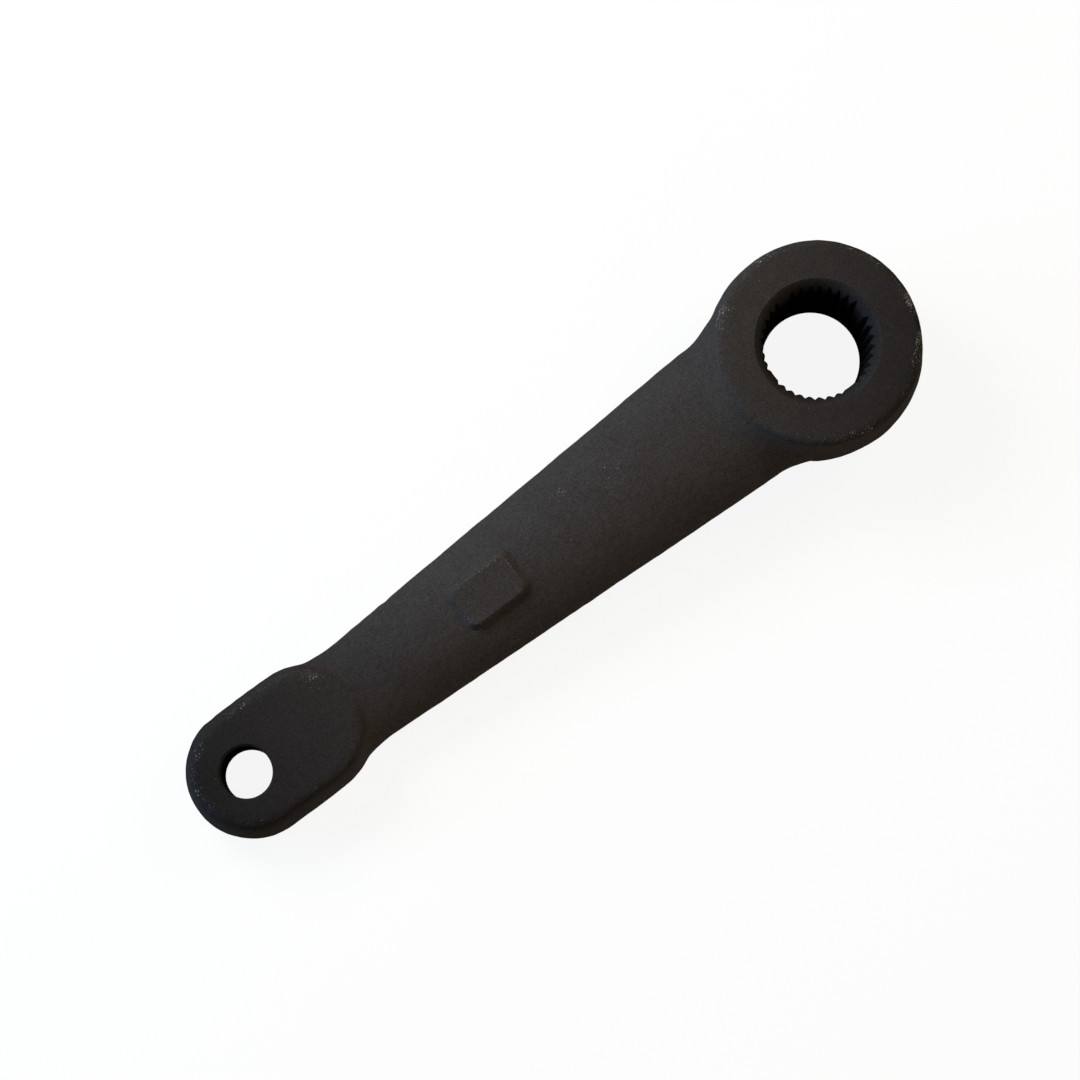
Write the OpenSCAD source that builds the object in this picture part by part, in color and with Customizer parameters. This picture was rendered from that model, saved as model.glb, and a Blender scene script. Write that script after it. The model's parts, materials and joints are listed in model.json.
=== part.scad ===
// Pitman arm: one steel drop forging with a round boss, a crowned tapering shank and a flat eye.
// The boss is bored with a tapered serration for the steering shaft, the eye is drilled for the link's stud.
// Origin on the serration's axis in the plane that the arm lies on, +X towards the eye, +Z up, millimetres.

/* [Arm] */
// Distance between the serration's axis and the stud hole's axis
arm_l = 198; // [170:1:240]
// Height of the trimmed flash line that runs round the forging
flash_h = 1.6; // [0.8:0.1:3]
// Radius of the rounded edge of the machined faces
edge_r = 1.8; // [0.8:0.1:3]

/* [Boss] */
// Diameter of the boss at its flash line
boss_d = 60.8; // [56:0.2:70]
// How far the boss's wall leans in from the flash line to the rounded edges
boss_lean = 1.9; // [0.8:0.1:4]
// Height of the boss
boss_h = 36; // [32:0.5:46]

/* [Serration] */
// Major diameter of the serration at the wide face of the boss
serration_d = 32.3; // [26:0.1:34]
// Depth of a groove
groove_depth = 1.1; // [0.6:0.1:1.5]
// Angle between a groove's two sides
groove_angle = 84; // [60:1:90]
// Number of groove positions round the bore
groove_count = 36; // [24:4:48]
// Number of positions left uncut, which make the wide master teeth
master_count = 4; // [0:1:4]
// Length over which the diameter grows by one
taper_ratio = 16; // [10:1:40]
// How far the chamfer at the wide face spreads beyond the grooves
mouth_chamfer = 1.65; // [0.5:0.05:4]
// How far the chamfer at the narrow face spreads beyond the grooves
tail_chamfer = 0.8; // [0.4:0.1:4]
// Length over which the tooth tips lead in below the chamfer at the wide face
lead_h = 3.2; // [2:0.1:6]
// Height above the narrow face at which the grooves stop, over a plain land
land_h = 4.5; // [3:0.5:8]

/* [Eye] */
// Width of the eye at its flash line
eye_w = 38; // [35:0.2:46]
// How far the eye's wall leans in from the flash line to the rounded edges
eye_lean = 2.1; // [0.8:0.1:4]
// Thickness of the eye
eye_h = 20; // [17:0.5:26]
// Distance between the centres of the eye's two round ends
eye_l = 18.6; // [10:0.2:30]
// How far the hole lies outside the centre of the eye's outer round
eye_offset = 1.4; // [0:0.1:2.4]
// Diameter of the stud hole
stud_d = 14.6; // [10:0.1:18]
// Chamfer at both ends of the stud hole
stud_chamfer = 0.6; // [0.2:0.1:1.5]

/* [Shank] */
// Width of the shank where it runs into the boss
shank_boss_w = 43.8; // [36:0.2:50]
// Width of the shank where it runs into the eye
shank_eye_w = 30.4; // [22:0.2:33]
// Depth of the shank's crown below the boss's upper face
boss_step = 4; // [2.5:0.1:8]
// Height of the shank's under side above the boss's lower face
boss_under = 8; // [3:0.5:12]
// Depth of the shank's crown below the eye's upper face
eye_step = 1.4; // [1:0.1:4]
// Height of the shank's under side above the eye's lower face
eye_under = 1.4; // [1:0.1:4]
// Fullness of the crown: 0.5 is an ellipse, 1 is a parabola
crown_power = 0.7; // [0.5:0.05:1]
// Spread of the shank's outline into the boss
boss_flare = 3.2; // [0.5:0.1:4]
// Spread of the shank's outline into the eye
eye_flare = 0.8; // [0.2:0.1:2]
// Length of the blends at both ends of the shank
blend_run = 6; // [3:0.5:10]

/* [Raised pad] */
// Distance of the pad's middle from the serration's axis
pad_x = 114; // [90:1:125]
// Length of the pad
pad_l = 18.6; // [12:0.2:26]
// Width of the pad
pad_w = 11.6; // [8:0.2:16]
// Height of the pad above the crown
pad_h = 1.3; // [0.6:0.1:2.5]
// Radius of the pad's corners
pad_r = 2.4; // [1:0.1:4]
// Draft of the pad's sides in degrees
pad_draft = 18; // [5:1:30]

/* [Hidden] */
$fn = 96;
// How far a cutter runs past the face that it cuts
past = 1;
// Steps of the rounded edges and of the shank's section, in degrees
edge_step = 18;
section_step = 9;

boss_r = boss_d / 2;
eye_r = eye_w / 2;
eye_out_x = arm_l - eye_offset;
eye_in_x = eye_out_x - eye_l;
// Ends of the shank on the middle line
shank_boss_x = boss_r;
shank_eye_x = eye_in_x - eye_r;
shank_l = shank_eye_x - shank_boss_x;
// Crown and under side at the ends of the shank, with the flash line half way between them
boss_crown_z = boss_h - boss_step;
eye_crown_z = eye_h - eye_step;
boss_flash_z = (boss_crown_z + boss_under) / 2;
eye_flash_z = (eye_crown_z + eye_under) / 2;
shank_slope = atan((boss_crown_z - eye_crown_z) / shank_l);
// How far the shank climbs the walls that it runs into, which ends below their rounded edges
boss_climb = min(boss_step - edge_r, blend_run);
under_climb = min(boss_under - edge_r, blend_run);
eye_climb = (eye_step - edge_r / 2) / 2;
eye_under_climb = (eye_under - edge_r / 2) / 2;
// How far the shank's ends reach into the boss and the eye
boss_reach = boss_r / 4;
eye_reach = eye_r / 2;
// Depth of the pad's foot below the crown
pad_foot = 4;
// Share of its depth by which a groove's cutter runs past the tooth tips
groove_past = 0.5;

function mix(a, b, t) = a + (b - a) * t;
// Share of the way along the shank at a distance from the serration's axis
function along(x) = min(max((x - shank_boss_x) / shank_l, 0), 1);
// Height of the flash line, and of the crown above it
function flash_z(x) = mix(boss_flash_z, eye_flash_z, along(x));
function crown_rise(x) = mix(boss_crown_z - boss_flash_z, eye_crown_z - eye_flash_z, along(x));
// Blend: 1 at the wall that the shank runs into, 0 at the end of the run
function blend(gap) = pow(1 - min(max(gap / blend_run, 0), 1), 2);
function boss_gap(x, y) = norm([x, y]) - boss_r;
function eye_gap(x, y) = norm([x - eye_in_x, y]) - eye_r;
// Half width of the shank at its flash line
function half_width(x, y) =
    mix(shank_boss_w, shank_eye_w, along(x)) / 2
    + boss_flare * blend(boss_gap(x, y))
    + eye_flare * blend(eye_gap(x, y));

// A station is a section of the shank that bows like the boss at one end and like the eye at the other
function station_x(q, y) =
    mix(boss_r - pow(y, 2) / boss_d, shank_eye_x + pow(y, 2) / eye_w, q);
function station_width(q, y, passes = 12) =
    passes == 0 ? y : station_width(q, half_width(station_x(q, y), y), passes - 1);
// A point of a section: side runs from 1 to -1 across the shank, up is 1 over the crown and -1 under it
function shank_point(q, width, side, up) =
    let (y = side * width, x = station_x(q, y))
    let (near_boss = blend(boss_gap(x, y)), near_eye = blend(eye_gap(x, y)))
    let (climb = (up > 0 ? boss_climb : under_climb) * near_boss
        + (up > 0 ? eye_climb : eye_under_climb) * near_eye)
    let (crown = (crown_rise(x) + climb - flash_h / 2) * pow(1 - pow(side, 2), crown_power))
    [x, y, flash_z(x) + up * (flash_h / 2 + crown)];

// Stations: close together in the blends, wide apart between them
blend_q = blend_run / shank_l;
station_list = concat(
    [-boss_reach / shank_l, -boss_reach / shank_l / 2],
    [for (i = [0 : 6]) blend_q * i / 6],
    [for (i = [1 : 9]) mix(blend_q, 1 - blend_q, i / 10)],
    [for (i = [0 : 6]) 1 - blend_q * (1 - i / 6)],
    [1 + eye_reach / shank_l / 2, 1 + eye_reach / shank_l]);
// Places round a section: over the crown, then back along the under side
ring = concat(
    [for (a = [0 : section_step : 180]) [cos(a), 1]],
    [for (a = [180 : -section_step : 0]) [cos(a), -1]]);

// Section of a forged boss from its middle out: flat faces, rounded edges, leaning walls, flash line
module forged_section(flash_r, lean, flash_z, height) {
    face_r = flash_r - lean - edge_r;
    polygon(concat(
        [[0, 0]],
        [for (a = [-90 : edge_step : 0]) [face_r + edge_r * cos(a), edge_r + edge_r * sin(a)]],
        [[flash_r, flash_z - flash_h / 2], [flash_r, flash_z + flash_h / 2]],
        [for (a = [0 : edge_step : 90]) [face_r + edge_r * cos(a), height - edge_r + edge_r * sin(a)]],
        [[0, height]]));
}

module boss() {
    rotate_extrude()
        forged_section(boss_r, boss_lean, boss_flash_z, boss_h);
}

// The eye is the same section carried round two half turns and along the flanks between them
module eye() {
    translate([eye_out_x, 0, 0])
        rotate([0, 0, -90])
            rotate_extrude(angle = 180)
                eye_section();
    translate([eye_in_x, 0, 0])
        rotate([0, 0, 90])
            rotate_extrude(angle = 180)
                eye_section();
    for (side = [0, 1])
        translate([eye_in_x, 0, 0])
            mirror([0, side, 0])
                rotate([90, 0, 90])
                    linear_extrude(height = eye_l)
                        eye_section();
}

module eye_section() {
    forged_section(eye_r, eye_lean, eye_flash_z, eye_h);
}

module shank() {
    n = len(ring);
    last = len(station_list) - 1;
    widths = [for (q = station_list) station_width(q, shank_boss_w / 2)];
    points = concat(
        [for (i = [0 : last], r = ring) shank_point(station_list[i], widths[i], r[0], r[1])],
        [for (i = [0, last]) let (x = station_x(station_list[i], 0)) [x, 0, flash_z(x)]]);
    sides = [for (i = [0 : last - 1], j = [0 : n - 1])
        let (a = i * n + j, b = i * n + (j + 1) % n)
        each [[a, b + n, b], [a, a + n, b + n]]];
    caps = [for (j = [0 : n - 1])
        let (k = (j + 1) % n)
        each [[len(points) - 2, j, k], [len(points) - 1, last * n + k, last * n + j]]];
    polyhedron(points, concat(sides, caps));
}

module pad() {
    height = pad_foot + pad_h;
    translate([pad_x, 0, flash_z(pad_x) + crown_rise(pad_x)])
        rotate([0, shank_slope, 0])
            hull()
                for (sx = [-1, 1], sy = [-1, 1])
                    translate([sx * (pad_l / 2 - pad_r), sy * (pad_w / 2 - pad_r), -pad_foot])
                        cylinder(h = height, r1 = pad_r + height * tan(pad_draft), r2 = pad_r, $fn = 32);
}

// Tapered bore with its grooves, a plain land below them, a lead for the tooth tips and a chamfer at each face
module serrated_bore() {
    wide_r = serration_d / 2;
    narrow_r = wide_r - boss_h / (2 * taper_ratio);
    grow = past / (2 * taper_ratio);
    cut = groove_depth * (1 + groove_past);
    cut_half_w = cut * tan(groove_angle / 2);
    lead_z = boss_h - mouth_chamfer - lead_h;
    lead_r = narrow_r - groove_depth + lead_z / (2 * taper_ratio);
    lead_past = past * groove_depth / lead_h;
    translate([0, 0, -past])
        cylinder(h = boss_h + 2 * past, r1 = narrow_r - groove_depth - grow, r2 = wide_r - groove_depth + grow);
    for (k = [0 : groove_count - 1])
        if (master_count == 0 || k % (groove_count / master_count) != 0)
            rotate([0, 0, k * 360 / groove_count])
                translate([narrow_r, 0, 0])
                    rotate([0, atan(1 / (2 * taper_ratio)), 0])
                        translate([0, 0, land_h])
                            linear_extrude(height = boss_h + past - land_h)
                                polygon([[0, 0], [-cut, cut_half_w], [-cut, -cut_half_w]]);
    translate([0, 0, lead_z - past])
        cylinder(h = lead_h + 2 * past, r1 = lead_r - lead_past, r2 = lead_r + groove_depth + lead_past);
    translate([0, 0, boss_h])
        chamfer_cone(wide_r + mouth_chamfer, mouth_chamfer + cut);
    mirror([0, 0, 1])
        chamfer_cone(narrow_r + tail_chamfer, tail_chamfer + cut);
}

// Cutter for a 45 degree chamfer: radius r in the plane z = 0, narrowing downwards over a depth
module chamfer_cone(r, depth) {
    translate([0, 0, -depth])
        cylinder(h = depth + past, r1 = r - depth, r2 = r + past);
}

module stud_hole() {
    translate([arm_l, 0, 0]) {
        translate([0, 0, -past])
            cylinder(h = eye_h + 2 * past, d = stud_d);
        translate([0, 0, eye_h])
            chamfer_cone(stud_d / 2 + stud_chamfer, stud_chamfer * 2);
        mirror([0, 0, 1])
            chamfer_cone(stud_d / 2 + stud_chamfer, stud_chamfer * 2);
    }
}

module pitman_arm() {
    color("#322f2d")
        difference() {
            union() {
                boss();
                eye();
                shank();
                pad();
            }
            serrated_bore();
            stud_hole();
        }
}

pitman_arm();
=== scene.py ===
# %% [markdown]
# # A forged pitman arm
#
# A pitman arm turns the rotation of a steering box's shaft into the swing of a link. It is hammered
# from one bar of steel between two dies, trimmed, bored at both ends and blackened. This lesson
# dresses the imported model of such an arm: first its skin, then its finish, then the studio.

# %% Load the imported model
import json
import math

import bmesh
import bpy
import numpy as np
from mathutils import Euler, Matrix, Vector


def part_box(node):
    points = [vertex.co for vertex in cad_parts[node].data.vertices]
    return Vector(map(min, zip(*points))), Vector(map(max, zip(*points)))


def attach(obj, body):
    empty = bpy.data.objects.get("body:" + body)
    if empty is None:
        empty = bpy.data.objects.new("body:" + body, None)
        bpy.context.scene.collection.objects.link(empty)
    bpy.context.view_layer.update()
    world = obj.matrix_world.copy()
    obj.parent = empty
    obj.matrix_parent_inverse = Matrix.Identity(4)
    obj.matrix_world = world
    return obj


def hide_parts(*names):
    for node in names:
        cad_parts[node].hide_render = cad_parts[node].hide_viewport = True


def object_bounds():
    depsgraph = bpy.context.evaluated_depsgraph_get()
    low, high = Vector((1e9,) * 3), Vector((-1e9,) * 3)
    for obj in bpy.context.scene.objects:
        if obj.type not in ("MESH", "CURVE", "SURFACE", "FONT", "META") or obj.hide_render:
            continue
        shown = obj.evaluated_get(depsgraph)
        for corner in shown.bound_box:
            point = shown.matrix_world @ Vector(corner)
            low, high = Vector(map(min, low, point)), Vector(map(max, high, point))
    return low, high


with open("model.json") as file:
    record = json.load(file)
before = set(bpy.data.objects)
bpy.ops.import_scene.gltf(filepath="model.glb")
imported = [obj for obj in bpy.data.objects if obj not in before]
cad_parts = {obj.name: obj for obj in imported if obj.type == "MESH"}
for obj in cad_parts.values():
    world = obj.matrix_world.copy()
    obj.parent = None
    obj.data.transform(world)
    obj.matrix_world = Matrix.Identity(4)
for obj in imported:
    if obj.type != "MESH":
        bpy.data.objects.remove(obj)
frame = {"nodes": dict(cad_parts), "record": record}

MM = 0.001
cad_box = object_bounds()
cad_size = [round(v / MM, 2) for v in cad_box[1] - cad_box[0]]
print("packed nodes:", sorted(frame["nodes"]), "box in mm:", cad_size)

# %% [markdown]
# ## Sizes
#
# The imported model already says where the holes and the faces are, so those sizes are read from its
# mounts and its box. The rest are the few millimetre sizes that shape a forging: how far its walls
# lean so that it leaves the die, how round its edges are, and how the shank is crowned. The boss's
# walls start with a little less lean than they end with, because softening the rim draws it in.

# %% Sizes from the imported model
mounts = {m["name"]: m for m in frame["record"]["mounts"]}
low, high = (np.array(corner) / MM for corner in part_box("pitman_arm"))
arm_l = mounts["stud_hole"]["pos_m"][0] / MM
stud_r = mounts["stud_hole"]["dims"]["r_mm"]
boss_h = mounts["boss_upper_face"]["pos_m"][2] / MM
eye_h = mounts["eye_upper_face"]["pos_m"][2] / MM
boss_r = -low[0]
eye_offset = 1.4
eye_out_x = arm_l - eye_offset
eye_r = high[0] - eye_out_x
print(f"boss {2 * boss_r:.1f} x {boss_h:.1f} mm, eye {2 * eye_r:.1f} x {eye_h:.1f} mm")
print(f"hole centres {arm_l:.1f} mm apart")

# %% Sizes of the forging
flash_h = 1.6
edge_r = 1.8
boss_lean = 1.5
eye_lean = 2.1
eye_l = 18.6
boss_step = 4
eye_step = 1.4
boss_under_z = 8
eye_under_z = 1.4
eye_in_x = eye_out_x - eye_l
shank_eye_x = eye_in_x - eye_r
shank_l = shank_eye_x - boss_r
boss_crown_z = boss_h - boss_step
eye_crown_z = eye_h - eye_step
boss_flash_z = (boss_crown_z + boss_under_z) / 2
eye_flash_z = (eye_crown_z + eye_under_z) / 2
print(f"shank {shank_l:.1f} mm long, falling {boss_crown_z - eye_crown_z:.1f} mm along its crown")

# %% [markdown]
# ## From numbers to a mesh
#
# Every form of the arm is a sheet of points with two parameters: one runs along a section, the other
# carries the section along the piece. The forms could be pulled into shape by hand, but computed
# ones follow the sizes above. A single helper turns a sheet into a mesh. It wraps the sheet round, so
# that the last column meets the first, and merges the points that fall together at seams and poles,
# so that each form is a closed skin.

# %% Sheets of points
merge_gap = 0.0005


def sheet_faces(rows, columns):
    """Four corners of each cell of a sheet whose columns wrap round.

    They are a point, its right neighbour and the two points above them."""
    row, column = np.mgrid[0:rows - 1, 0:columns]
    right = (column + 1) % columns
    below, above = row * columns, (row + 1) * columns
    return np.stack((below + column, below + right, above + right, above + column), -1).reshape(-1, 4)


def sheet_mesh(name, sheets):
    """A mesh from closed sheets of millimetre points, with doubled points merged and faces outwards."""
    points = np.vstack([s.reshape(-1, 3) for s in sheets])
    starts = np.cumsum([0] + [s.shape[0] * s.shape[1] for s in sheets[:-1]])
    faces = np.vstack([sheet_faces(*s.shape[:2]) + start for s, start in zip(sheets, starts)])
    mesh = bpy.data.meshes.new(name)
    mesh.from_pydata(points * MM, [], faces.tolist())
    work = bmesh.new()
    work.from_mesh(mesh)
    bmesh.ops.remove_doubles(work, verts=work.verts, dist=merge_gap * MM)
    bmesh.ops.recalc_face_normals(work, faces=work.faces)
    work.to_mesh(mesh)
    work.free()
    return mesh


def place(name, mesh):
    """A new object at the origin that shows the mesh."""
    made = bpy.data.objects.new(name, mesh)
    bpy.context.scene.collection.objects.link(made)
    return made


print("a sheet of 3 rows and 4 columns has", len(sheet_faces(3, 4)), "faces")

# %% [markdown]
# ## Boss and eye
#
# A boss leaves the die because its walls lean in from the flash line, where the two dies met. The
# machined faces end in a rounded edge. A bevelled cylinder would come close, but has no flash line.
# So the section is drawn once: turned about one centre it is the boss, and carried round two centres
# it is the long eye.

# %% Sections carried round a track
def forged_section(flash_r, lean, section_flash_z, height, arc_steps=9):
    """Radius and height from the middle of the lower face to the middle of the upper one.

    The faces are flat, a quarter circle rounds each edge, and straight walls lean out to the flash line."""
    turn = np.radians(np.linspace(0, 90, arc_steps))
    face_r = flash_r - lean - edge_r
    lower = np.column_stack((face_r + edge_r * np.sin(turn), edge_r * (1 - np.cos(turn))))
    upper = lower[::-1] * (1, -1) + (0, height)
    land = [[flash_r, section_flash_z - flash_h / 2], [flash_r, section_flash_z + flash_h / 2]]
    return np.vstack(([[0, 0]], lower, land, upper, [[0, height]]))


def track(centres, first_deg, steps):
    """Centre and angle of each column of a track whose centres share the full turn equally."""
    share = 360 / len(centres)
    bend = np.linspace(0, share, steps // len(centres) + 1)
    angle = np.radians(np.concatenate([first_deg + share * i + bend for i in range(len(centres))]))
    return np.repeat(np.array(centres, float), len(bend), axis=0), angle


def carry_round(section, centres, first_deg=0, steps=192):
    """The section carried round a track.

    x and y are the centre plus the radius times the cosine and sine of the angle, z is the height."""
    middle, angle = track(centres, first_deg, steps)
    radius, height = section[:, :1], section[:, 1:]
    x = middle[:, 0] + radius * np.cos(angle)
    y = middle[:, 1] + radius * np.sin(angle)
    return np.stack((x, y, np.broadcast_to(height, x.shape)), -1)


boss = carry_round(forged_section(boss_r, boss_lean, boss_flash_z, boss_h), [(0, 0)])
eye_centres = [(eye_out_x, 0), (eye_in_x, 0)]
eye = carry_round(forged_section(eye_r, eye_lean, eye_flash_z, eye_h), eye_centres, -90)
print("boss sheet", boss.shape[:2], "eye sheet", eye.shape[:2])

# %% [markdown]
# ## Shank
#
# The shank is a loft: a crowned section whose width, height and slope change on the way from the
# boss to the eye. A stretched and subdivided cube would be quicker, but its blends can't be set in
# millimetres. The stations bow like the round they run into, so that the blend has the same length
# all round. Near each end the section swells and climbs the wall, which makes the fillet. The first
# and last stations lie inside the boss and the eye, so that the forms overlap.

# %% Crown and flash line of the shank
def mix(a, b, share):
    """The value that lies the given share of the way from a to b."""
    return a + (b - a) * share


def ramp(gap, run):
    """Zero up to a gap of zero, then a straight rise to one over the run."""
    return np.clip(gap / run, 0, 1)


def along(x):
    """Share of the way along the shank."""
    return ramp(x - boss_r, shank_l)


def flash_z(x):
    """Height of the flash line, straight from the boss's to the eye's."""
    return mix(boss_flash_z, eye_flash_z, along(x))


def crown_rise(x):
    """Height of the crown above the flash line."""
    return mix(boss_crown_z - boss_flash_z, eye_crown_z - eye_flash_z, along(x))


mid_x = boss_r + shank_l / 2
print(f"at mid length the flash line is {flash_z(mid_x):.1f} mm up")
print(f"and the crown {crown_rise(mid_x):.1f} mm above it")

# %% Width of the shank
shank_boss_w = 43.8
shank_eye_w = 30.4
blend_run = 6
boss_flare = 3.2
eye_flare = 0.8


def blend(gap):
    """One at the wall that the shank runs into, and zero at the end of the blend, along a parabola."""
    return (1 - ramp(gap, blend_run)) ** 2


def near_boss(x, y):
    """The boss's blend at a point of the plan."""
    return blend(np.hypot(x, y) - boss_r)


def near_eye(x, y):
    """The eye's blend at a point of the plan."""
    return blend(np.hypot(x - eye_in_x, y) - eye_r)


def half_width(x, y):
    """Half the shank's width: a straight taper, plus a flare into each end."""
    straight = mix(shank_boss_w, shank_eye_w, along(x)) / 2
    return straight + boss_flare * near_boss(x, y) + eye_flare * near_eye(x, y)


print(f"at mid length the shank is {2 * half_width(mid_x, 0):.1f} mm wide")

# %% Shank
crown_power = 0.7
boss_climb = (boss_h - boss_crown_z) - edge_r
under_climb = blend_run
eye_climb = (eye_h - eye_crown_z - edge_r / 2) / 2
boss_overlap = 0.06
eye_overlap = 0.07
width_rounds = 12


def station_x(q, y):
    """A station's place: it bows like the boss where q is 0 and like the eye where q is 1."""
    return mix(boss_r - y ** 2 / (2 * boss_r), shank_eye_x + y ** 2 / (2 * eye_r), q)


def shank_sheet(stations=320, section_steps=96):
    """Points over station q and section side s: y is s times the half width, x is the station's bow there.

    z is the flash line plus or minus half its height and the crown times (1 - s squared) to a power. The
    half width and the bow depend on each other, so they are worked out in rounds."""
    q = np.linspace(-boss_overlap, 1 + eye_overlap, stations)[:, None]
    width = np.full_like(q, shank_boss_w / 2)
    for _ in range(width_rounds):
        width = half_width(station_x(q, width), width)
    turn = np.linspace(0, np.pi, section_steps)
    side = np.concatenate((np.cos(turn), np.cos(turn[::-1])))
    up = np.repeat((1, -1), section_steps)
    y = side * width
    x = station_x(q, y)
    climb = np.where(up > 0, boss_climb, under_climb) * near_boss(x, y) + eye_climb * near_eye(x, y)
    crown = (crown_rise(x) + climb - flash_h / 2) * (1 - side ** 2) ** crown_power
    sheet = np.stack((x, y, flash_z(x) + up * (flash_h / 2 + crown)), -1)
    ends = [np.broadcast_to(sheet[i].mean(0), sheet[i].shape) for i in (0, -1)]
    return np.concatenate((ends[:1], sheet, ends[1:]))


shank = shank_sheet()
print("shank sheet", shank.shape[:2])

# %% [markdown]
# ## One skin
#
# Hot steel flows into one body, so the three closed forms are joined into one skin. A boolean union
# would join them too, but with long thin faces, and the next steps need even ones. So a voxel remesh
# does it: it keeps only the outside of the overlapping forms, on a grid of even faces.

# %% Join the forms into one skin
voxel = 0.62


def settled(source):
    """The object's mesh with its modifiers worked out."""
    graph = bpy.context.evaluated_depsgraph_get()
    return bpy.data.meshes.new_from_object(source.evaluated_get(graph))


forms = place("forms", sheet_mesh("forms", [boss, eye, shank]))
remesh = forms.modifiers.new("one skin", "REMESH")
remesh.mode = "VOXEL"
remesh.voxel_size = voxel * MM
skin = settled(forms)
bpy.data.objects.remove(forms)
print("skin:", len(skin.vertices), "points,", len(skin.polygons), "faces")

# %% Reading a mesh as arrays
def read_points(mesh):
    """The mesh's points in millimetres."""
    flat = np.empty(len(mesh.vertices) * 3, np.float32)
    mesh.vertices.foreach_get("co", flat)
    return flat.reshape(-1, 3).astype(float) / MM


def read_edges(mesh):
    """The two points of each of the mesh's edges."""
    flat = np.empty(len(mesh.edges) * 2, np.int32)
    mesh.edges.foreach_get("vertices", flat)
    return flat.reshape(-1, 2)


def read_normals(mesh):
    """The direction in which the mesh faces at each point."""
    flat = np.empty(len(mesh.vertices) * 3, np.float32)
    mesh.vertex_normals.foreach_get("vector", flat)
    return flat.reshape(-1, 3).astype(float)


def write_points(mesh, millimetres):
    """Moves the mesh's points."""
    mesh.vertices.foreach_set("co", (millimetres * MM).astype(np.float32).ravel())
    mesh.update()


def write_value(mesh, name, values):
    """Keeps one number for each point, under a name that a material can read."""
    mesh.attributes.new(name, "FLOAT", "POINT").data.foreach_set("value", values.astype(np.float32))


def neighbour_mean(points, edges):
    """Mean of each point's neighbours along the edges."""
    a, b = edges.T
    count = np.bincount(edges.ravel(), minlength=len(points))
    total = [np.bincount(a, p[b], len(points)) + np.bincount(b, p[a], len(points)) for p in points.T]
    return np.stack(total, -1) / count[:, None]


points = read_points(skin)
edges = read_edges(skin)
edge_mm = np.linalg.norm(points[edges[:, 0]] - points[edges[:, 1]], axis=1)
print(len(edges), "edges of", edge_mm.mean().round(2), "mm on average")

# %% [markdown]
# ## Blends and softened edges
#
# Steel doesn't fill sharp corners of a die, and blasting rounds every edge further. A bevel would round
# all edges alike, but a forging is rounder in some places than in others. So the skin is relaxed: each
# point moves towards the mean of its neighbours, again and again. How far is set by a softness: most
# at the eye's rims and in the fillet between boss and shank, some at the boss's rims, little elsewhere.

# %% How soft the forging is
base_softness = 0.05
fillet_band = {"soft": 0.5, "middle": 2, "width": 2.6}
boss_rim_band = {"soft": 0.3, "middle": -2.5, "width": 3}
eye_rim_band = {"soft": 0.75, "middle": -2, "width": 5}
flash_hardness = 0.85
rim_reach = 4
fillet_from_x = 8
fade_l = 12


def hump(gap, width):
    """One where the gap is zero, falling off over the width like a bell."""
    return np.exp(-(gap / width) ** 2)


def soft_band(out, soft, middle, width):
    """A bell of softness over the distance out from a wall."""
    return soft * hump(out - middle, width)


def eye_gap(x):
    """How far x lies past the stretch between the eye's two centres, with its sign."""
    return x - np.clip(x, eye_in_x, eye_out_x)


def face_gap(z):
    """How far z lies from the nearer face of the boss."""
    return boss_h / 2 - np.abs(z - boss_h / 2)


def softness(points):
    """How soft the forging is at each point, from 0 to 1: a base, plus bands at the fillet and at the rims.

    The flash line of the eye stays harder than its rims."""
    x, y, z = points.T
    boss_out = np.hypot(x, y) - boss_r
    eye_out = np.hypot(eye_gap(x), y) - eye_r
    in_shank = ramp(x - fillet_from_x, fade_l) * ramp(shank_eye_x - x, fade_l)
    hard = flash_hardness * hump(z - eye_flash_z, rim_reach) * ramp(x - eye_in_x + fade_l / 2, fade_l)
    fillet = soft_band(boss_out, **fillet_band) * in_shank
    boss_rim = soft_band(boss_out, **boss_rim_band) * hump(face_gap(z), rim_reach)
    eye_rim = soft_band(eye_out, **eye_rim_band) * (1 - hard)
    return np.clip(base_softness + fillet + boss_rim + eye_rim, 0, 1)


soft = softness(points)
print("softness from", soft.min().round(3), "to", soft.max().round(3), "mean", soft.mean().round(3))

# %% Relax the skin
relax_passes = 48
relax_pull = 0.5

weight = relax_pull * soft[:, None]
for _ in range(relax_passes):
    points = points + weight * (neighbour_mean(points, edges) - points)
write_points(skin, points)
print("relaxed box in mm:", points.min(0).round(2), points.max(0).round(2))

# %% [markdown]
# ## Forged skin
#
# Scale pressed into hot steel leaves the skin slightly uneven, while the faces are cut flat. A displace
# modifier with a noise texture could do this. A sum of waves with random directions is as even, has
# no grid, and fades out on the faces by a formula. Three small nicks from handling sit on the flash
# line, and a pit lies beside the pad. Each has a place, a reach and a depth in millimetres.

# %% Uneven forged skin
broad_wave = 14
broad_rise = 0.04
fine_wave = 4
fine_rise = 0.02
nicks = [((138.6, -16.2, 11.8), 1.0, 0.6), ((197.8, -18.9, 10.5), 1.2, 0.4),
         ((-24, 18.5, 21), 1.2, 0.4), ((116.2, 14.5, 17.7), 0.9, 0.5)]
draw = np.random.default_rng(36)


def waves(points, length, count=40, pace=(0.7, 1.4)):
    """Sum of sine waves of about one length, in random directions and phases, scaled to a spread of one."""
    direction = draw.normal(size=(3, count))
    direction *= 2 * np.pi / length / np.linalg.norm(direction, axis=0) * draw.uniform(*pace, count)
    return np.sin(points @ direction + draw.uniform(0, 2 * np.pi, count)).sum(1) / math.sqrt(count / 2)


def face_share(points, fade=0.5):
    """One on the flat machined faces of the boss and the eye, falling to zero over the fade below them."""
    x, _, z = points.T
    on_boss = x < boss_r + blend_run
    depth = np.minimum(z, np.abs(np.where(on_boss, boss_h, eye_h) - z))
    return (1 - ramp(depth, fade)) * (on_boss | (x > shank_eye_x))


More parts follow.
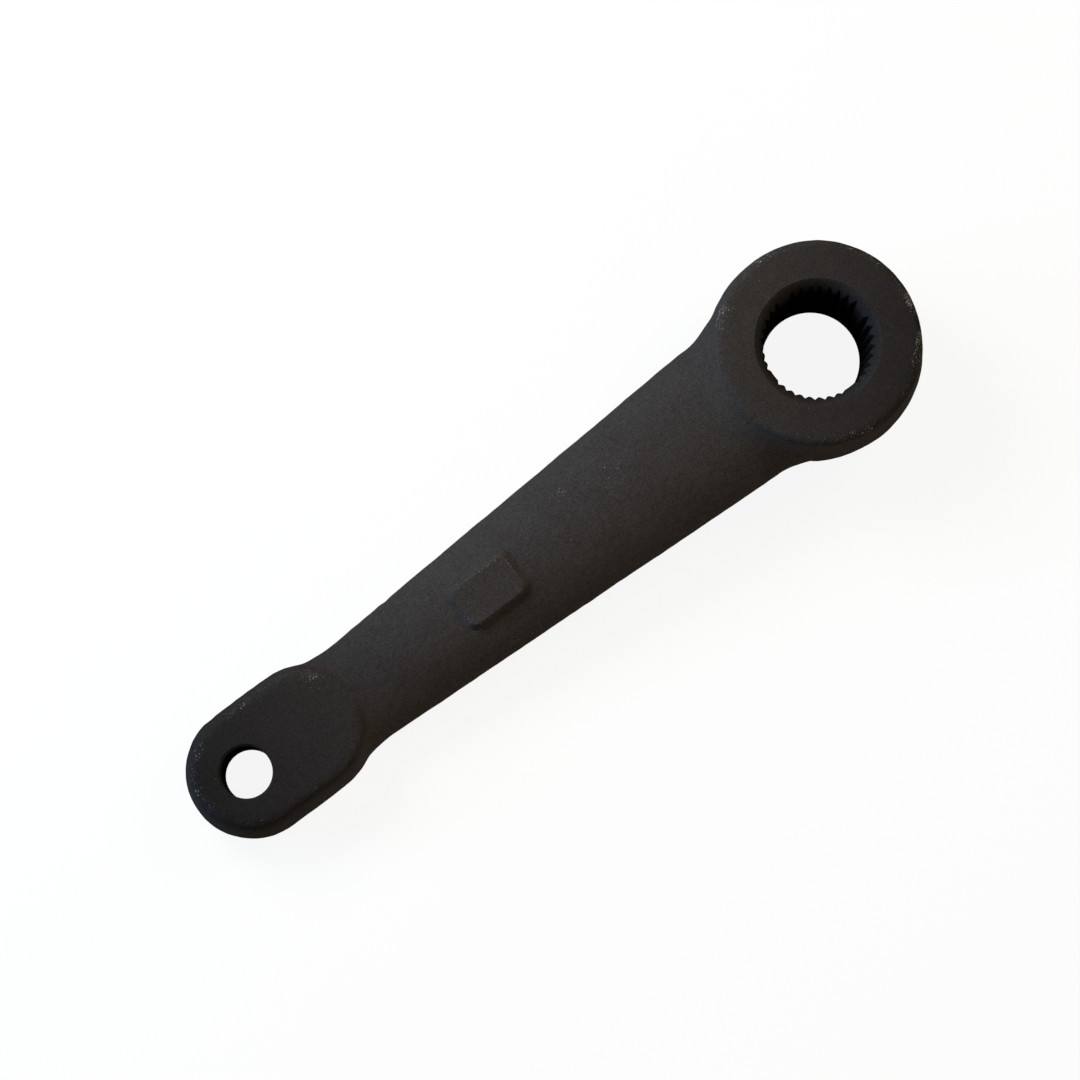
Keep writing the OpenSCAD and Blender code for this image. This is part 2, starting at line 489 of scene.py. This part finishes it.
rise = broad_rise * waves(points, broad_wave) + fine_rise * waves(points, fine_wave)
rise *= 1 - face_share(points)
for nick_at, reach, depth in nicks:
    rise -= depth * hump(np.linalg.norm(points - nick_at, axis=1), reach)
points = points + read_normals(skin) * rise[:, None]
write_points(skin, points)
print("skin moves by", rise.min().round(3), "to", rise.max().round(3), "mm")

# %% [markdown]
# ## Raised pad
#
# A shallow pocket in the die leaves a low bare pad on the crown. Its foot is sunk into the shank, one
# side is steep while the other side and the ends slope out, and its top follows the crown's slope.
# The skin could be raised there instead, but its grid is too coarse for a crisp rim. So the pad is
# drawn as its own closed sheet and joined on with a boolean. It is drawn slightly wide, because its
# rounded rim takes some of the width.

# %% Raised pad
pad_x = 114
pad_l = 18.6
pad_w = 12.2
pad_h = 1.3
pad_corner_r = 2.4
pad_rim_r = 0.5
pad_foot = 4
pad_steps = 64
steep_slope = math.tan(math.radians(18))
wide_slope = math.tan(math.radians(48))


def pad_sheet(arc_steps=5):
    """A section carried round four centres, tilted by the fall of the crown.

    Its radius grows below the rim by the steep slope, and a quarter circle rounds the rim. Away from the
    steep side the radius grows to the wide slope."""
    turn = np.radians(np.linspace(0, 90, arc_steps))
    foot_r = pad_corner_r + steep_slope * (pad_h + pad_foot)
    rim_r = pad_corner_r - pad_rim_r * (1 - np.cos(turn))
    rim_z = pad_h - pad_rim_r * (1 - np.sin(turn))
    flat = [[pad_corner_r - 2 * pad_rim_r, pad_h], [0, pad_h]]
    section = np.vstack(([[0, -pad_foot], [foot_r, -pad_foot]], np.column_stack((rim_r, rim_z)), flat))
    reach_x, reach_y = pad_l / 2 - pad_corner_r, pad_w / 2 - pad_corner_r
    centres = [(reach_x, reach_y), (-reach_x, reach_y), (-reach_x, -reach_y), (reach_x, -reach_y)]
    _, angle = track(centres, 0, pad_steps)
    x, y, z = np.moveaxis(carry_round(section, centres, 0, pad_steps), -1, 0)
    push = (wide_slope - steep_slope) * (pad_h - z) * (1 - np.maximum(np.sin(angle), 0) ** 2)
    x, y = x + push * np.cos(angle), y + push * np.sin(angle)
    x[[0, -1]] = y[[0, -1]] = 0
    fall = math.atan((boss_crown_z - eye_crown_z) / shank_l)
    crown_z = flash_z(pad_x) + crown_rise(pad_x)
    tilted_x = x * math.cos(fall) + z * math.sin(fall) + pad_x
    tilted_z = z * math.cos(fall) - x * math.sin(fall) + crown_z
    return np.stack((tilted_x, y, tilted_z), -1)


pad = place("pad", sheet_mesh("pad", [pad_sheet()]))
print("pad:", len(pad.data.vertices), "points,", len(pad.data.polygons), "faces")

# %% Join the pad to the skin
def work_in(body, tools, operation):
    """Joins closed forms to the body, or cuts them out of it, and removes them."""
    for tool in tools:
        step = body.modifiers.new(tool.name, "BOOLEAN")
        step.operation = operation
        step.solver = "MANIFOLD"
        step.object = tool
    body.data = settled(body)
    body.modifiers.clear()
    for tool in tools:
        bpy.data.objects.remove(tool)


arm = place("arm_skin", skin)
work_in(arm, [pad], "UNION")
print("skin with pad:", len(arm.data.polygons), "faces")

# %% [markdown]
# ## Worn edges
#
# A black finish wears first where an edge stands out, and most where the arm was knocked. Such wear
# could be painted on by hand. Here it is one number for each point, which the material reads later:
# how far the point stands out of its neighbours, times the knocks near it. Scuffs are places that were
# rubbed, edge or not. Each has a place, a reach in millimetres and a strength.

# %% Where edges are worn
edge_stand = 0.006
edge_run = 0.014
edge_passes = 2
edge_wear = 0.3
knocks = [((-26, 8, 36), 19, 0.75), ((10, -27, 36), 15, 0.45), ((6, 28, 35), 12, 0.3),
          ((209, -10, 14), 13, 0.35), ((212, -5, 17), 5, 0.45), ((191, -17, 17), 8, 0.4),
          ((112, -6, 27), 9, 0.65), ((120, 4, 26), 7, 0.3)]
scuffs = [((169, -10, 20), 4.5, 0.5), ((210, -9, 16), 7, 0.12), ((82, -9, 25), 4, 0.5),
          ((68, -4, 28), 6, 0.45), ((87, 1, 26), 2.5, 0.45), ((47, 6, 30), 2.5, 0.45),
          ((140, -9, 19), 3, 0.3), ((116, 14.5, 18), 1.3, 0.8), ((0.5, -26.5, 36), 2.2, 0.5),
          ((13, -23, 36), 2.2, 0.45), ((16, -21.5, 36), 2.2, 0.4)]


def spread(points, places):
    """The largest of some bells: each has a place, a reach in millimetres and a strength."""
    bells = [most * hump(np.linalg.norm(points - at, axis=1), reach) for at, reach, most in places]
    return np.max(bells, axis=0)


def worn_edges(points, normals, edges):
    """Wear from 0 to 1: how far a point stands out of its neighbours' mean, times the knocks near it.

    The rise is a share of that of a worn edge, averaged over the neighbours. Scuffs are added to it."""
    stand = ((points - neighbour_mean(points, edges)) * normals).sum(1)
    for _ in range(edge_passes):
        stand = neighbour_mean(stand[:, None], edges)[:, 0]
    edge = ramp(stand - edge_stand, edge_run)
    return np.clip(edge * (edge_wear + spread(points, knocks)) + spread(points, scuffs), 0, 1)


wear = worn_edges(read_points(arm.data), read_normals(arm.data), read_edges(arm.data))
write_value(arm.data, "wear", wear)
print("worn share of the skin:", round(float(wear.mean()), 3))

# %% [markdown]
# ## Bores
#
# The serrated bore is broached and the stud hole drilled after forging, so both are cut from the
# finished skin with sharp edges. A cutter is again a sheet: its radius depends on angle and height.
# Grooves could be cut one by one, but one sheet holds them all and leaves one clean cut. They run out
# over a plain land at the narrow face, and at the wide face the tooth tips lead in.

# %% Serration cutter
past = 1
serration_d = 32.3
serration_r = serration_d / 2
groove_depth = 1.1
groove_count = 36
master_every = 9
groove_share = 0.76
flank_steps = 9
taper = 1 / 32
narrow_r = serration_r - boss_h * taper
mouth_chamfer = 1.65
tail_chamfer = 0.8
lead_h = 3.2
land_h = 4.5
run_out = 0.8
mouth_r = serration_r + mouth_chamfer
tail_r = narrow_r + tail_chamfer
tip_r = narrow_r - groove_depth


def serration_cutter():
    """Radius = tip radius, plus taper times height, plus the groove depth times how near a groove's floor is.

    Every ninth place has no groove. From the narrow face up the rows follow a 45 degree chamfer, the plain
    land, the teeth, the steep lead of the tooth tips and the chamfer of the wide face. A row between two
    of these lies at the height where their radii are equal."""
    flank = np.linspace(-1, 1, flank_steps)
    places = np.arange(groove_count)[:, None] + np.append(flank * groove_share / 2, 0.5)
    depth_share = np.append(1 - np.abs(flank), 0) * np.ones((groove_count, 1))
    depth_share[::master_every] = 0
    angle = (places * 2 * np.pi / groove_count).ravel()
    groove = groove_depth * depth_share.ravel()
    slope = groove_depth / lead_h
    lead_z = boss_h - mouth_chamfer - lead_h
    tail_z = (tail_r - tip_r) / (1 + taper)
    join_z = (boss_h - mouth_r + tip_r + (taper - slope) * lead_z) / (1 - slope)
    chamfer_z = (boss_h - mouth_r + tip_r + groove) / (1 - taper)
    teeth_z = np.minimum(lead_z + groove / (slope - taper), chamfer_z)
    lead_top_z = np.maximum(teeth_z, join_z)
    even = np.ones_like(angle)
    levels = (-past, -past, tail_z, land_h, land_h + run_out, teeth_z, lead_top_z, boss_h + past,
              boss_h + past)
    height = np.stack([level * even for level in levels])
    tooth = tip_r + taper * height
    tooth[4:6] += groove
    ends = np.array([0, tail_r + past, mouth_r + past, 0])[:, None] * even
    radius = np.vstack((ends[:2], tooth[2:6], mouth_r - boss_h + lead_top_z[None], ends[2:]))
    return np.stack((radius * np.cos(angle), radius * np.sin(angle), height), -1)


serration = place("serration", sheet_mesh("serration", [serration_cutter()]))
print("serration cutter:", len(serration.data.polygons), "faces")

# %% Stud hole cutter
stud_chamfer = 0.6


def stud_section():
    """Radius and height of the drilled hole: straight, with a 45 degree chamfer at each face."""
    outer = stud_r + stud_chamfer + past
    lower = [[0, -past], [outer, -past], [stud_r, stud_chamfer]]
    return np.array(lower + [[r, eye_h - z] for r, z in lower[::-1]])


stud = place("stud", sheet_mesh("stud", [carry_round(stud_section(), [(arm_l, 0)])]))
print("stud hole cutter:", len(stud.data.polygons), "faces")

# %% Cut the bores
sharp_deg = 32

work_in(arm, [serration, stud], "DIFFERENCE")
arm.data.shade_smooth()
arm.data.set_sharp_from_angle(angle=math.radians(sharp_deg))
triangles = sum(len(p.vertices) - 2 for p in arm.data.polygons)
print("arm:", len(arm.data.polygons), "faces,", triangles, "triangles")

# %% [markdown]
# ## Where the arm was machined, and where light and shade are painted
#
# The faces and the chamfers were cut after forging, so they are smoother. The colour is made darker
# towards the eye's tip. Painted shade darkens the boss's face towards one side and the holes with their
# chamfers, and painted light lifts the eye's wall towards one side and the tip. A material for each
# region would give hard borders. So two numbers at each point say how machined it is and how much
# painted shading it gets, and the material reads them, which keeps every border soft.

# %% Machined share and painted shading
rim_margin = 0.05
face_fade = 0.35
# the colour is made darker towards the eye's tip, from here over this run
dark_from_x = 125
dark_run = 85
# painted shade in the holes and on their chamfers
hole_shade = 0.85
# painted light on the eye's wall, towards one side and the tip
wall_light_most = 0.6
wall_light_middle = 0.55
wall_light_to_tip = 0.5
wall_from = 0.86
wall_run = 0.08
# painted shade across the boss's faces and their rims, darker towards one side
boss_rim_h = 3.2
boss_rim_fade = 1.2
boss_shade = 0.37
boss_shade_fall = 0.33
boss_face_r = 22.5


def hole_share(points):
    """One in the two holes and on their chamfers, zero elsewhere."""
    x, y, _ = points.T
    in_bore = np.hypot(x, y) < mouth_r - rim_margin
    return in_bore | (np.hypot(x - arm_l, y) < stud_r + stud_chamfer - rim_margin)


def painted_shading(points):
    """How dark the colour is made: a ramp along the arm to the eye's tip, and a painted shade across the
    boss's faces.

    Painted light lifts the eye's wall towards one side and the tip. The boss's painted shade takes in the
    rims of its faces too, and the holes and their chamfers get a painted shade of their own."""
    x, y, z = points.T
    on_wall = ramp(np.hypot(eye_gap(x), y) / eye_r - wall_from, wall_run)
    # painted light on the eye's wall, taken off the darkening towards the eye's tip
    wall_light = wall_light_most * on_wall * np.clip(wall_light_middle + (wall_light_to_tip * eye_gap(x) + y) / eye_r, 0, 1)
    darker_to_eye = ramp(x - dark_from_x, dark_run) - wall_light
    rim = ramp(boss_rim_h - face_gap(z), boss_rim_fade) * (x < boss_r + blend_run)
    # painted shade across the boss's face and its rims
    boss_shading = (boss_shade - boss_shade_fall * (x - y) / (math.sqrt(2) * boss_face_r)) * rim
    # the holes and their chamfers get painted shade
    return np.where(hole_share(points), hole_shade, np.clip(np.maximum(darker_to_eye, boss_shading), 0, 1))


cut_points = read_points(arm.data)
machined = np.maximum(face_share(cut_points, face_fade), hole_share(cut_points))
write_value(arm.data, "machined", machined)
write_value(arm.data, "painted_shading", painted_shading(cut_points))
print("machined share of the points:", round(float(machined.mean()), 3))

# %% [markdown]
# ## Finish
#
# The arm is shot blasted and blackened all over, matt and slightly brown. Dust and small chips catch
# the light along worn edges. The broached teeth and the drilled wall get a second, darker finish, which
# is painted shade for the dark inside of the holes. Pictures wrapped round the arm would need seams.
# Noise over the arm's own coordinates needs none and stays sharp up close. The two finishes share two
# effects, so each effect is a node group: the blasted grain, and the specks.

# %% Node helpers
def new_group(name, inputs, outputs):
    """An empty shader node group with float, vector or colour sockets, and its two end nodes."""
    group = bpy.data.node_groups.new(name, "ShaderNodeTree")
    for in_out, sockets in (("INPUT", inputs), ("OUTPUT", outputs)):
        for socket, kind in sockets.items():
            group.interface.new_socket(socket, in_out=in_out, socket_type=f"NodeSocket{kind}")
    return group, group.nodes.new("NodeGroupInput"), group.nodes.new("NodeGroupOutput")


def add(tree, kind, feeds=(), **settings):
    """A node with its settings, and each feed linked or set: (input, socket or value)."""
    node = tree.nodes.new(f"ShaderNode{kind}")
    for key, value in settings.items():
        setattr(node, key, value)
    for key, value in dict(feeds).items():
        if isinstance(value, bpy.types.NodeSocket):
            tree.links.new(value, node.inputs[key])
        else:
            node.inputs[key].default_value = value
    return node


def calc(tree, operation, *values):
    """What one math node makes of its values."""
    return add(tree, "Math", dict(enumerate(values)), operation=operation).outputs[0]


def mix_colours(tree, share, first, second):
    """The colour that lies the given share of the way from the first to the second."""
    return add(tree, "Mix", {0: share, 6: first, 7: second}, data_type="RGBA").outputs[2]


print("node helpers:", [helper.__name__ for helper in (new_group, add, calc, mix_colours)])

# %% Grain of the blasted surface
medium_height = 0.5
coarse_share = 0.4
fine_share = 0.72


def make_grain():
    """Noise at three sizes over millimetre coordinates: a height for bump, a tone for colour and gloss."""
    inputs = {"Millimetres": "Vector", "Fineness": "Float"}
    group, ends, out = new_group("blasted_grain", inputs, {"Height": "Float", "Tone": "Float"})
    where, fineness = ends.outputs[:2]
    fine = add(group, "TexNoise", {"Vector": where, "Scale": fineness, "Detail": 2, "Roughness": 0.7})
    medium = add(group, "TexNoise", {"Vector": where, "Scale": 0.6, "Detail": 2, "Roughness": 0.5})
    coarse = add(group, "TexNoise", {"Vector": where, "Scale": 0.09, "Detail": 3, "Roughness": 0.6})
    height = calc(group, "MULTIPLY_ADD", medium.outputs[0], medium_height, fine.outputs[0])
    broad = add(group, "Mix", {"Factor": coarse_share, "A": medium.outputs[0], "B": coarse.outputs[0]})
    tone = add(group, "Mix", {"Factor": fine_share, "A": broad.outputs["Result"], "B": fine.outputs[0]})
    group.links.new(height, out.inputs["Height"])
    group.links.new(tone.outputs["Result"], out.inputs["Tone"])
    return group


grain_group = make_grain()
print("group:", grain_group.name)

# %% Chips and dust on worn edges
dust = (0.19, 0.19, 0.195, 1)
bare_scale = (0.09, 0.088, 0.086, 1)
rust = (0.105, 0.064, 0.044, 1)
scale_from = 0.3
rust_from = 0.84
worn_limit_change = -0.24
speck_fade = 0.05


def make_specks():
    """Specks lie where a fine noise stands above a limit. Wear lowers the limit in patches.

    A random number for each cell of about a millimetre says what its specks are: dust, bare scale or rust."""
    inputs = {"Millimetres": "Vector", "Wear": "Float", "Limit": "Float"}
    group, ends, out = new_group("worn_specks", inputs, {"Mask": "Float", "Colour": "Color"})
    where, wear_share, limit = ends.outputs[:3]
    fine = add(group, "TexNoise", {"Vector": where, "Scale": 1.9, "Detail": 2, "Roughness": 0.6})
    cloud = add(group, "TexNoise", {"Vector": where, "Scale": 0.12, "Detail": 1})
    patch_range = {"From Min": 0.28, "From Max": 0.5, "To Max": worn_limit_change}
    patch = add(group, "MapRange", {"Value": cloud.outputs[0], **patch_range})
    lower = calc(group, "MULTIPLY_ADD", wear_share, patch.outputs[0], limit)
    above = calc(group, "SUBTRACT", fine.outputs[0], lower)
    mask = add(group, "MapRange", {"Value": above, "From Max": speck_fade})
    cells = add(group, "TexVoronoi", {"Vector": where, "Scale": 0.9, "Randomness": 1})
    chance = add(group, "SeparateColor", {"Color": cells.outputs["Color"]})
    kind = add(group, "ValToRGB", {"Fac": chance.outputs["Green"]})
    kind.color_ramp.interpolation = "CONSTANT"
    kind.color_ramp.elements[0].color = dust
    kind.color_ramp.elements[1].color = rust
    kind.color_ramp.elements[1].position = rust_from
    kind.color_ramp.elements.new(scale_from).color = bare_scale
    group.links.new(mask.outputs[0], out.inputs["Mask"])
    group.links.new(kind.outputs["Color"], out.inputs["Colour"])
    return group


speck_group = make_specks()
print("group:", speck_group.name)

# %% Blackened steel, and a darker finish of painted shade for the bores
forged_tones = ((0.026, 0.0215, 0.0195, 1), (0.0483, 0.0435, 0.0422, 1))
# darker tones that the painted shade mixes in
shaded_tones = ((0.0105, 0.0092, 0.009, 1), (0.0195, 0.0182, 0.0182, 1))
# tones of the painted shade on the bores' walls
bore_shade_tones = ((0.007, 0.0067, 0.007, 1), (0.015, 0.0147, 0.0155, 1))
rough_swing = 0.12
machined_rough_change = -0.1
machined_bump_change = -0.6


def black_finish(name, unshaded, shaded, rough, fineness, bump, speck_limit):
    """A blackened steel. Its tone follows the grain between two colours, for no painted shade and for full
    painted shade.

    Specks lie on top, and the grain is bump, less of it where the steel was machined."""
    material = bpy.data.materials.new(name)
    material.use_nodes = True
    tree = material.node_tree
    shader = tree.nodes["Principled BSDF"]
    place_on = add(tree, "TexCoord").outputs["Object"]
    millimetres = add(tree, "Mapping", {"Vector": place_on, "Scale": (1 / MM,) * 3}).outputs[0]
    # the last of these numbers is the painted shading: painted shade, with painted light taken off
    wear_at, machined_at, shading_at = (add(tree, "Attribute", attribute_name=value).outputs["Fac"]
                                      for value in ("wear", "machined", "painted_shading"))
    grain_feeds = {"Millimetres": millimetres, "Fineness": fineness}
    grain = add(tree, "Group", grain_feeds, node_tree=grain_group)
    speck_feeds = {"Millimetres": millimetres, "Wear": wear_at, "Limit": speck_limit}
    speck = add(tree, "Group", speck_feeds, node_tree=speck_group)
    tone = add(tree, "MapRange", {"Value": grain.outputs["Tone"], "From Min": 0.36, "From Max": 0.64})
    colours = [mix_colours(tree, tone.outputs[0], dark, light) for dark, light in (unshaded, shaded)]
    # painted shade darkens the steel's colour here
    steel = mix_colours(tree, shading_at, *colours)
    colour = mix_colours(tree, speck.outputs["Mask"], steel, speck.outputs["Colour"])
    rough_range = {"To Min": rough - rough_swing, "To Max": rough + rough_swing}
    forged_rough = add(tree, "MapRange", {"Value": grain.outputs["Tone"], **rough_range})
    roughness = calc(tree, "MULTIPLY_ADD", machined_at, machined_rough_change, forged_rough.outputs[0])
    bump_share = calc(tree, "MULTIPLY_ADD", machined_at, machined_bump_change, 1)
    height = calc(tree, "MULTIPLY", grain.outputs["Height"], bump_share)
    raised = add(tree, "Bump", {"Height": height, "Strength": 1, "Distance": bump * MM})
    tree.links.new(colour, shader.inputs["Base Color"])
    tree.links.new(roughness, shader.inputs["Roughness"])
    tree.links.new(raised.outputs[0], shader.inputs["Normal"])
    shader.inputs["Specular IOR Level"].default_value = 0
    return material


blackened_steel = black_finish("blackened_steel", forged_tones, shaded_tones,
                               rough=0.8, fineness=2.0, bump=0.06, speck_limit=0.735)
# painted shade for the dark inside of the holes: a darker finish on the teeth and the drilled wall
bore_shade_steel = black_finish("bore_shade_steel", bore_shade_tones, bore_shade_tones,
                           rough=0.6, fineness=2.4, bump=0.03, speck_limit=0.8)
print("nodes:", {m.name: len(m.node_tree.nodes) for m in (blackened_steel, bore_shade_steel)})

# %% Which faces get the painted shade of the bores
steep_limit = 0.3
wall_margin = 0.1


def bore_shade_faces(mesh):
    """One for each face of the broached teeth and of the drilled wall, which get the painted shade, zero for
    the rest.
    """
    count = len(mesh.polygons)
    centre, normal = np.empty(count * 3, np.float32), np.empty(count * 3, np.float32)
    mesh.polygons.foreach_get("center", centre)
    mesh.polygons.foreach_get("normal", normal)
    x, y, _ = centre.reshape(-1, 3).T / MM
    steep = np.abs(normal.reshape(-1, 3)[:, 2]) < steep_limit
    bored = np.hypot(x, y) < serration_r + wall_margin
    drilled = np.hypot(x - arm_l, y) < stud_r + wall_margin
    return (steep & (bored | drilled)).astype(np.int32)


# these faces get the finish that paints the shade inside the holes
bore_shaded = bore_shade_faces(arm.data)
arm.data.materials.clear()
arm.data.materials.append(blackened_steel)
arm.data.materials.append(bore_shade_steel)
arm.data.polygons.foreach_set("material_index", bore_shaded)
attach(arm, "root")
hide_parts("pitman_arm")
print("finishes:", [m.name for m in arm.data.materials], "oiled faces:", int(bore_shaded.sum()))

# %% [markdown]
# ## Camera
#
# The arm lies on its lower faces and is looked down on from about 1.1 m above, a little off its middle,
# so that one wall of each bore shows. A long lens keeps the two ends at nearly one scale. The camera's
# place is given in its own axes, right, up and back, because that is how a view is lined up.

# %% Camera
lens_mm = 128.27
sensor_mm = 36
view_turn = Euler((-0.0948, 0.0634, -3.7793), "ZYX")
view_offset = Vector((-77.27, -50.89, 1101.3))

camera_data = bpy.data.cameras.new("camera")
camera_data.sensor_width = sensor_mm
camera_data.lens = lens_mm
camera = bpy.data.objects.new("camera", camera_data)
bpy.context.scene.collection.objects.link(camera)
camera.rotation_mode = "ZYX"
camera.rotation_euler = view_turn
camera.location = view_turn.to_matrix() @ view_offset * MM
bpy.context.scene.camera = camera
print("camera at", [round(v, 4) for v in camera.location])

# %% [markdown]
# ## Floor and surroundings
#
# The arm lies on a white table in a white room. What the camera sees, and what gloss or glass would
# show, glows white. Light that bounces on to the arm comes from a duller and warmer floor, as under a
# window, and a share of plain floor stays in view so that the arm keeps its shadow.

# %% Floor
floor_reach = 3
floor_dull = (0.8, 0.77, 0.72, 1)
floor_pale = (0.95, 0.95, 0.95, 1)
glow_share = 0.9


def seen_directly(tree):
    """One for rays from the camera, and for those that a glossy or clear surface sends on."""
    rays = add(tree, "LightPath").outputs
    first = calc(tree, "MAXIMUM", rays["Is Camera Ray"], rays["Is Glossy Ray"])
    return calc(tree, "MAXIMUM", first, rays["Is Transmission Ray"])


corners = [(-floor_reach, -floor_reach, 0), (floor_reach, -floor_reach, 0),
           (floor_reach, floor_reach, 0), (-floor_reach, floor_reach, 0)]
floor_mesh = bpy.data.meshes.new("floor")
floor_mesh.from_pydata(corners, [], [(0, 1, 2, 3)])
floor = place("floor", floor_mesh)
white = bpy.data.materials.new("white_floor")
white.use_nodes = True
tree = white.node_tree
tree.nodes.clear()
seen = seen_directly(tree)
matt = add(tree, "BsdfDiffuse", {"Color": mix_colours(tree, seen, floor_dull, floor_pale)})
glow = add(tree, "Emission", {"Strength": 1})
glowing = calc(tree, "MULTIPLY", seen, glow_share)
surface = add(tree, "MixShader", {0: glowing, 1: matt.outputs[0], 2: glow.outputs[0]})
add(tree, "OutputMaterial", {"Surface": surface.outputs[0]})
floor_mesh.materials.append(white)
print("floor", 2 * floor_reach, "m wide")

# %% Surroundings
sky_tint = (1, 0.78, 0.58, 1)
sky_strength = 0.15

world = bpy.data.worlds.new("white_room")
bpy.context.scene.world = world
world.use_nodes = True
tree = world.node_tree
room = tree.nodes["Background"]
seen = seen_directly(tree)
strength = add(tree, "MapRange", {"Value": seen, "To Min": sky_strength, "To Max": 1})
tree.links.new(mix_colours(tree, seen, sky_tint, (1, 1, 1, 1)), room.inputs["Color"])
tree.links.new(strength.outputs[0], room.inputs["Strength"])
print("sky light", sky_strength)

# %% [markdown]
# ## Lights
#
# A large window stands on the far side of the arm, so that the crown shades from light to dark across
# its width. A low blue one beyond the eye lights what faces that way: the fillet of the boss, the end
# of the pad and the tip of the eye. A warm lamp behind the boss, a weak low one on the near side and a
# faint brown sky fill the rest. Together they light a level face about as much as a white sky would,
# so a colour looks as it is written.

# %% Windows
def window(name, azimuth, elevation, distance, width, light, colour, aim=(95, 0, 15)):
    """A square lamp, seen from a point in millimetres at two angles in degrees and a distance in metres.

    Its power is what lights a matt white face turned to it to the brightness given: light times pi squared
    times the distance squared."""
    around, up = np.radians((azimuth, elevation))
    toward = Vector((math.cos(up) * math.cos(around), math.cos(up) * math.sin(around), math.sin(up)))
    data = bpy.data.lights.new(name, "AREA")
    data.shape = "SQUARE"
    data.size = width
    data.energy = light * math.pi ** 2 * distance ** 2
    data.color = colour
    lamp = bpy.data.objects.new(name, data)
    bpy.context.scene.collection.objects.link(lamp)
    lamp.location = Vector(aim) * MM + toward * distance
    lamp.rotation_euler = toward.to_track_quat("Z", "Y").to_euler()
    lamp.visible_camera = False
    return lamp


windows = [
    window("side_window", azimuth=-76, elevation=42, distance=0.8, width=0.35,
           light=0.86, colour=(1, 0.97, 0.95)),
    window("end_window", azimuth=-38, elevation=17, distance=1.4, width=0.5,
           light=0.85, colour=(0.27, 0.62, 1.0)),
    window("back_lamp", azimuth=180, elevation=42, distance=1.2, width=0.4,
           light=0.28, colour=(1, 0.94, 0.63)),
    window("near_lamp", azimuth=100, elevation=8, distance=1.2, width=0.4,
           light=0.18, colour=(1, 0.86, 0.72))]
bpy.context.scene.view_settings.view_transform = "Standard"
print("lamps in W:", {lamp.name: round(lamp.data.energy, 2) for lamp in windows})
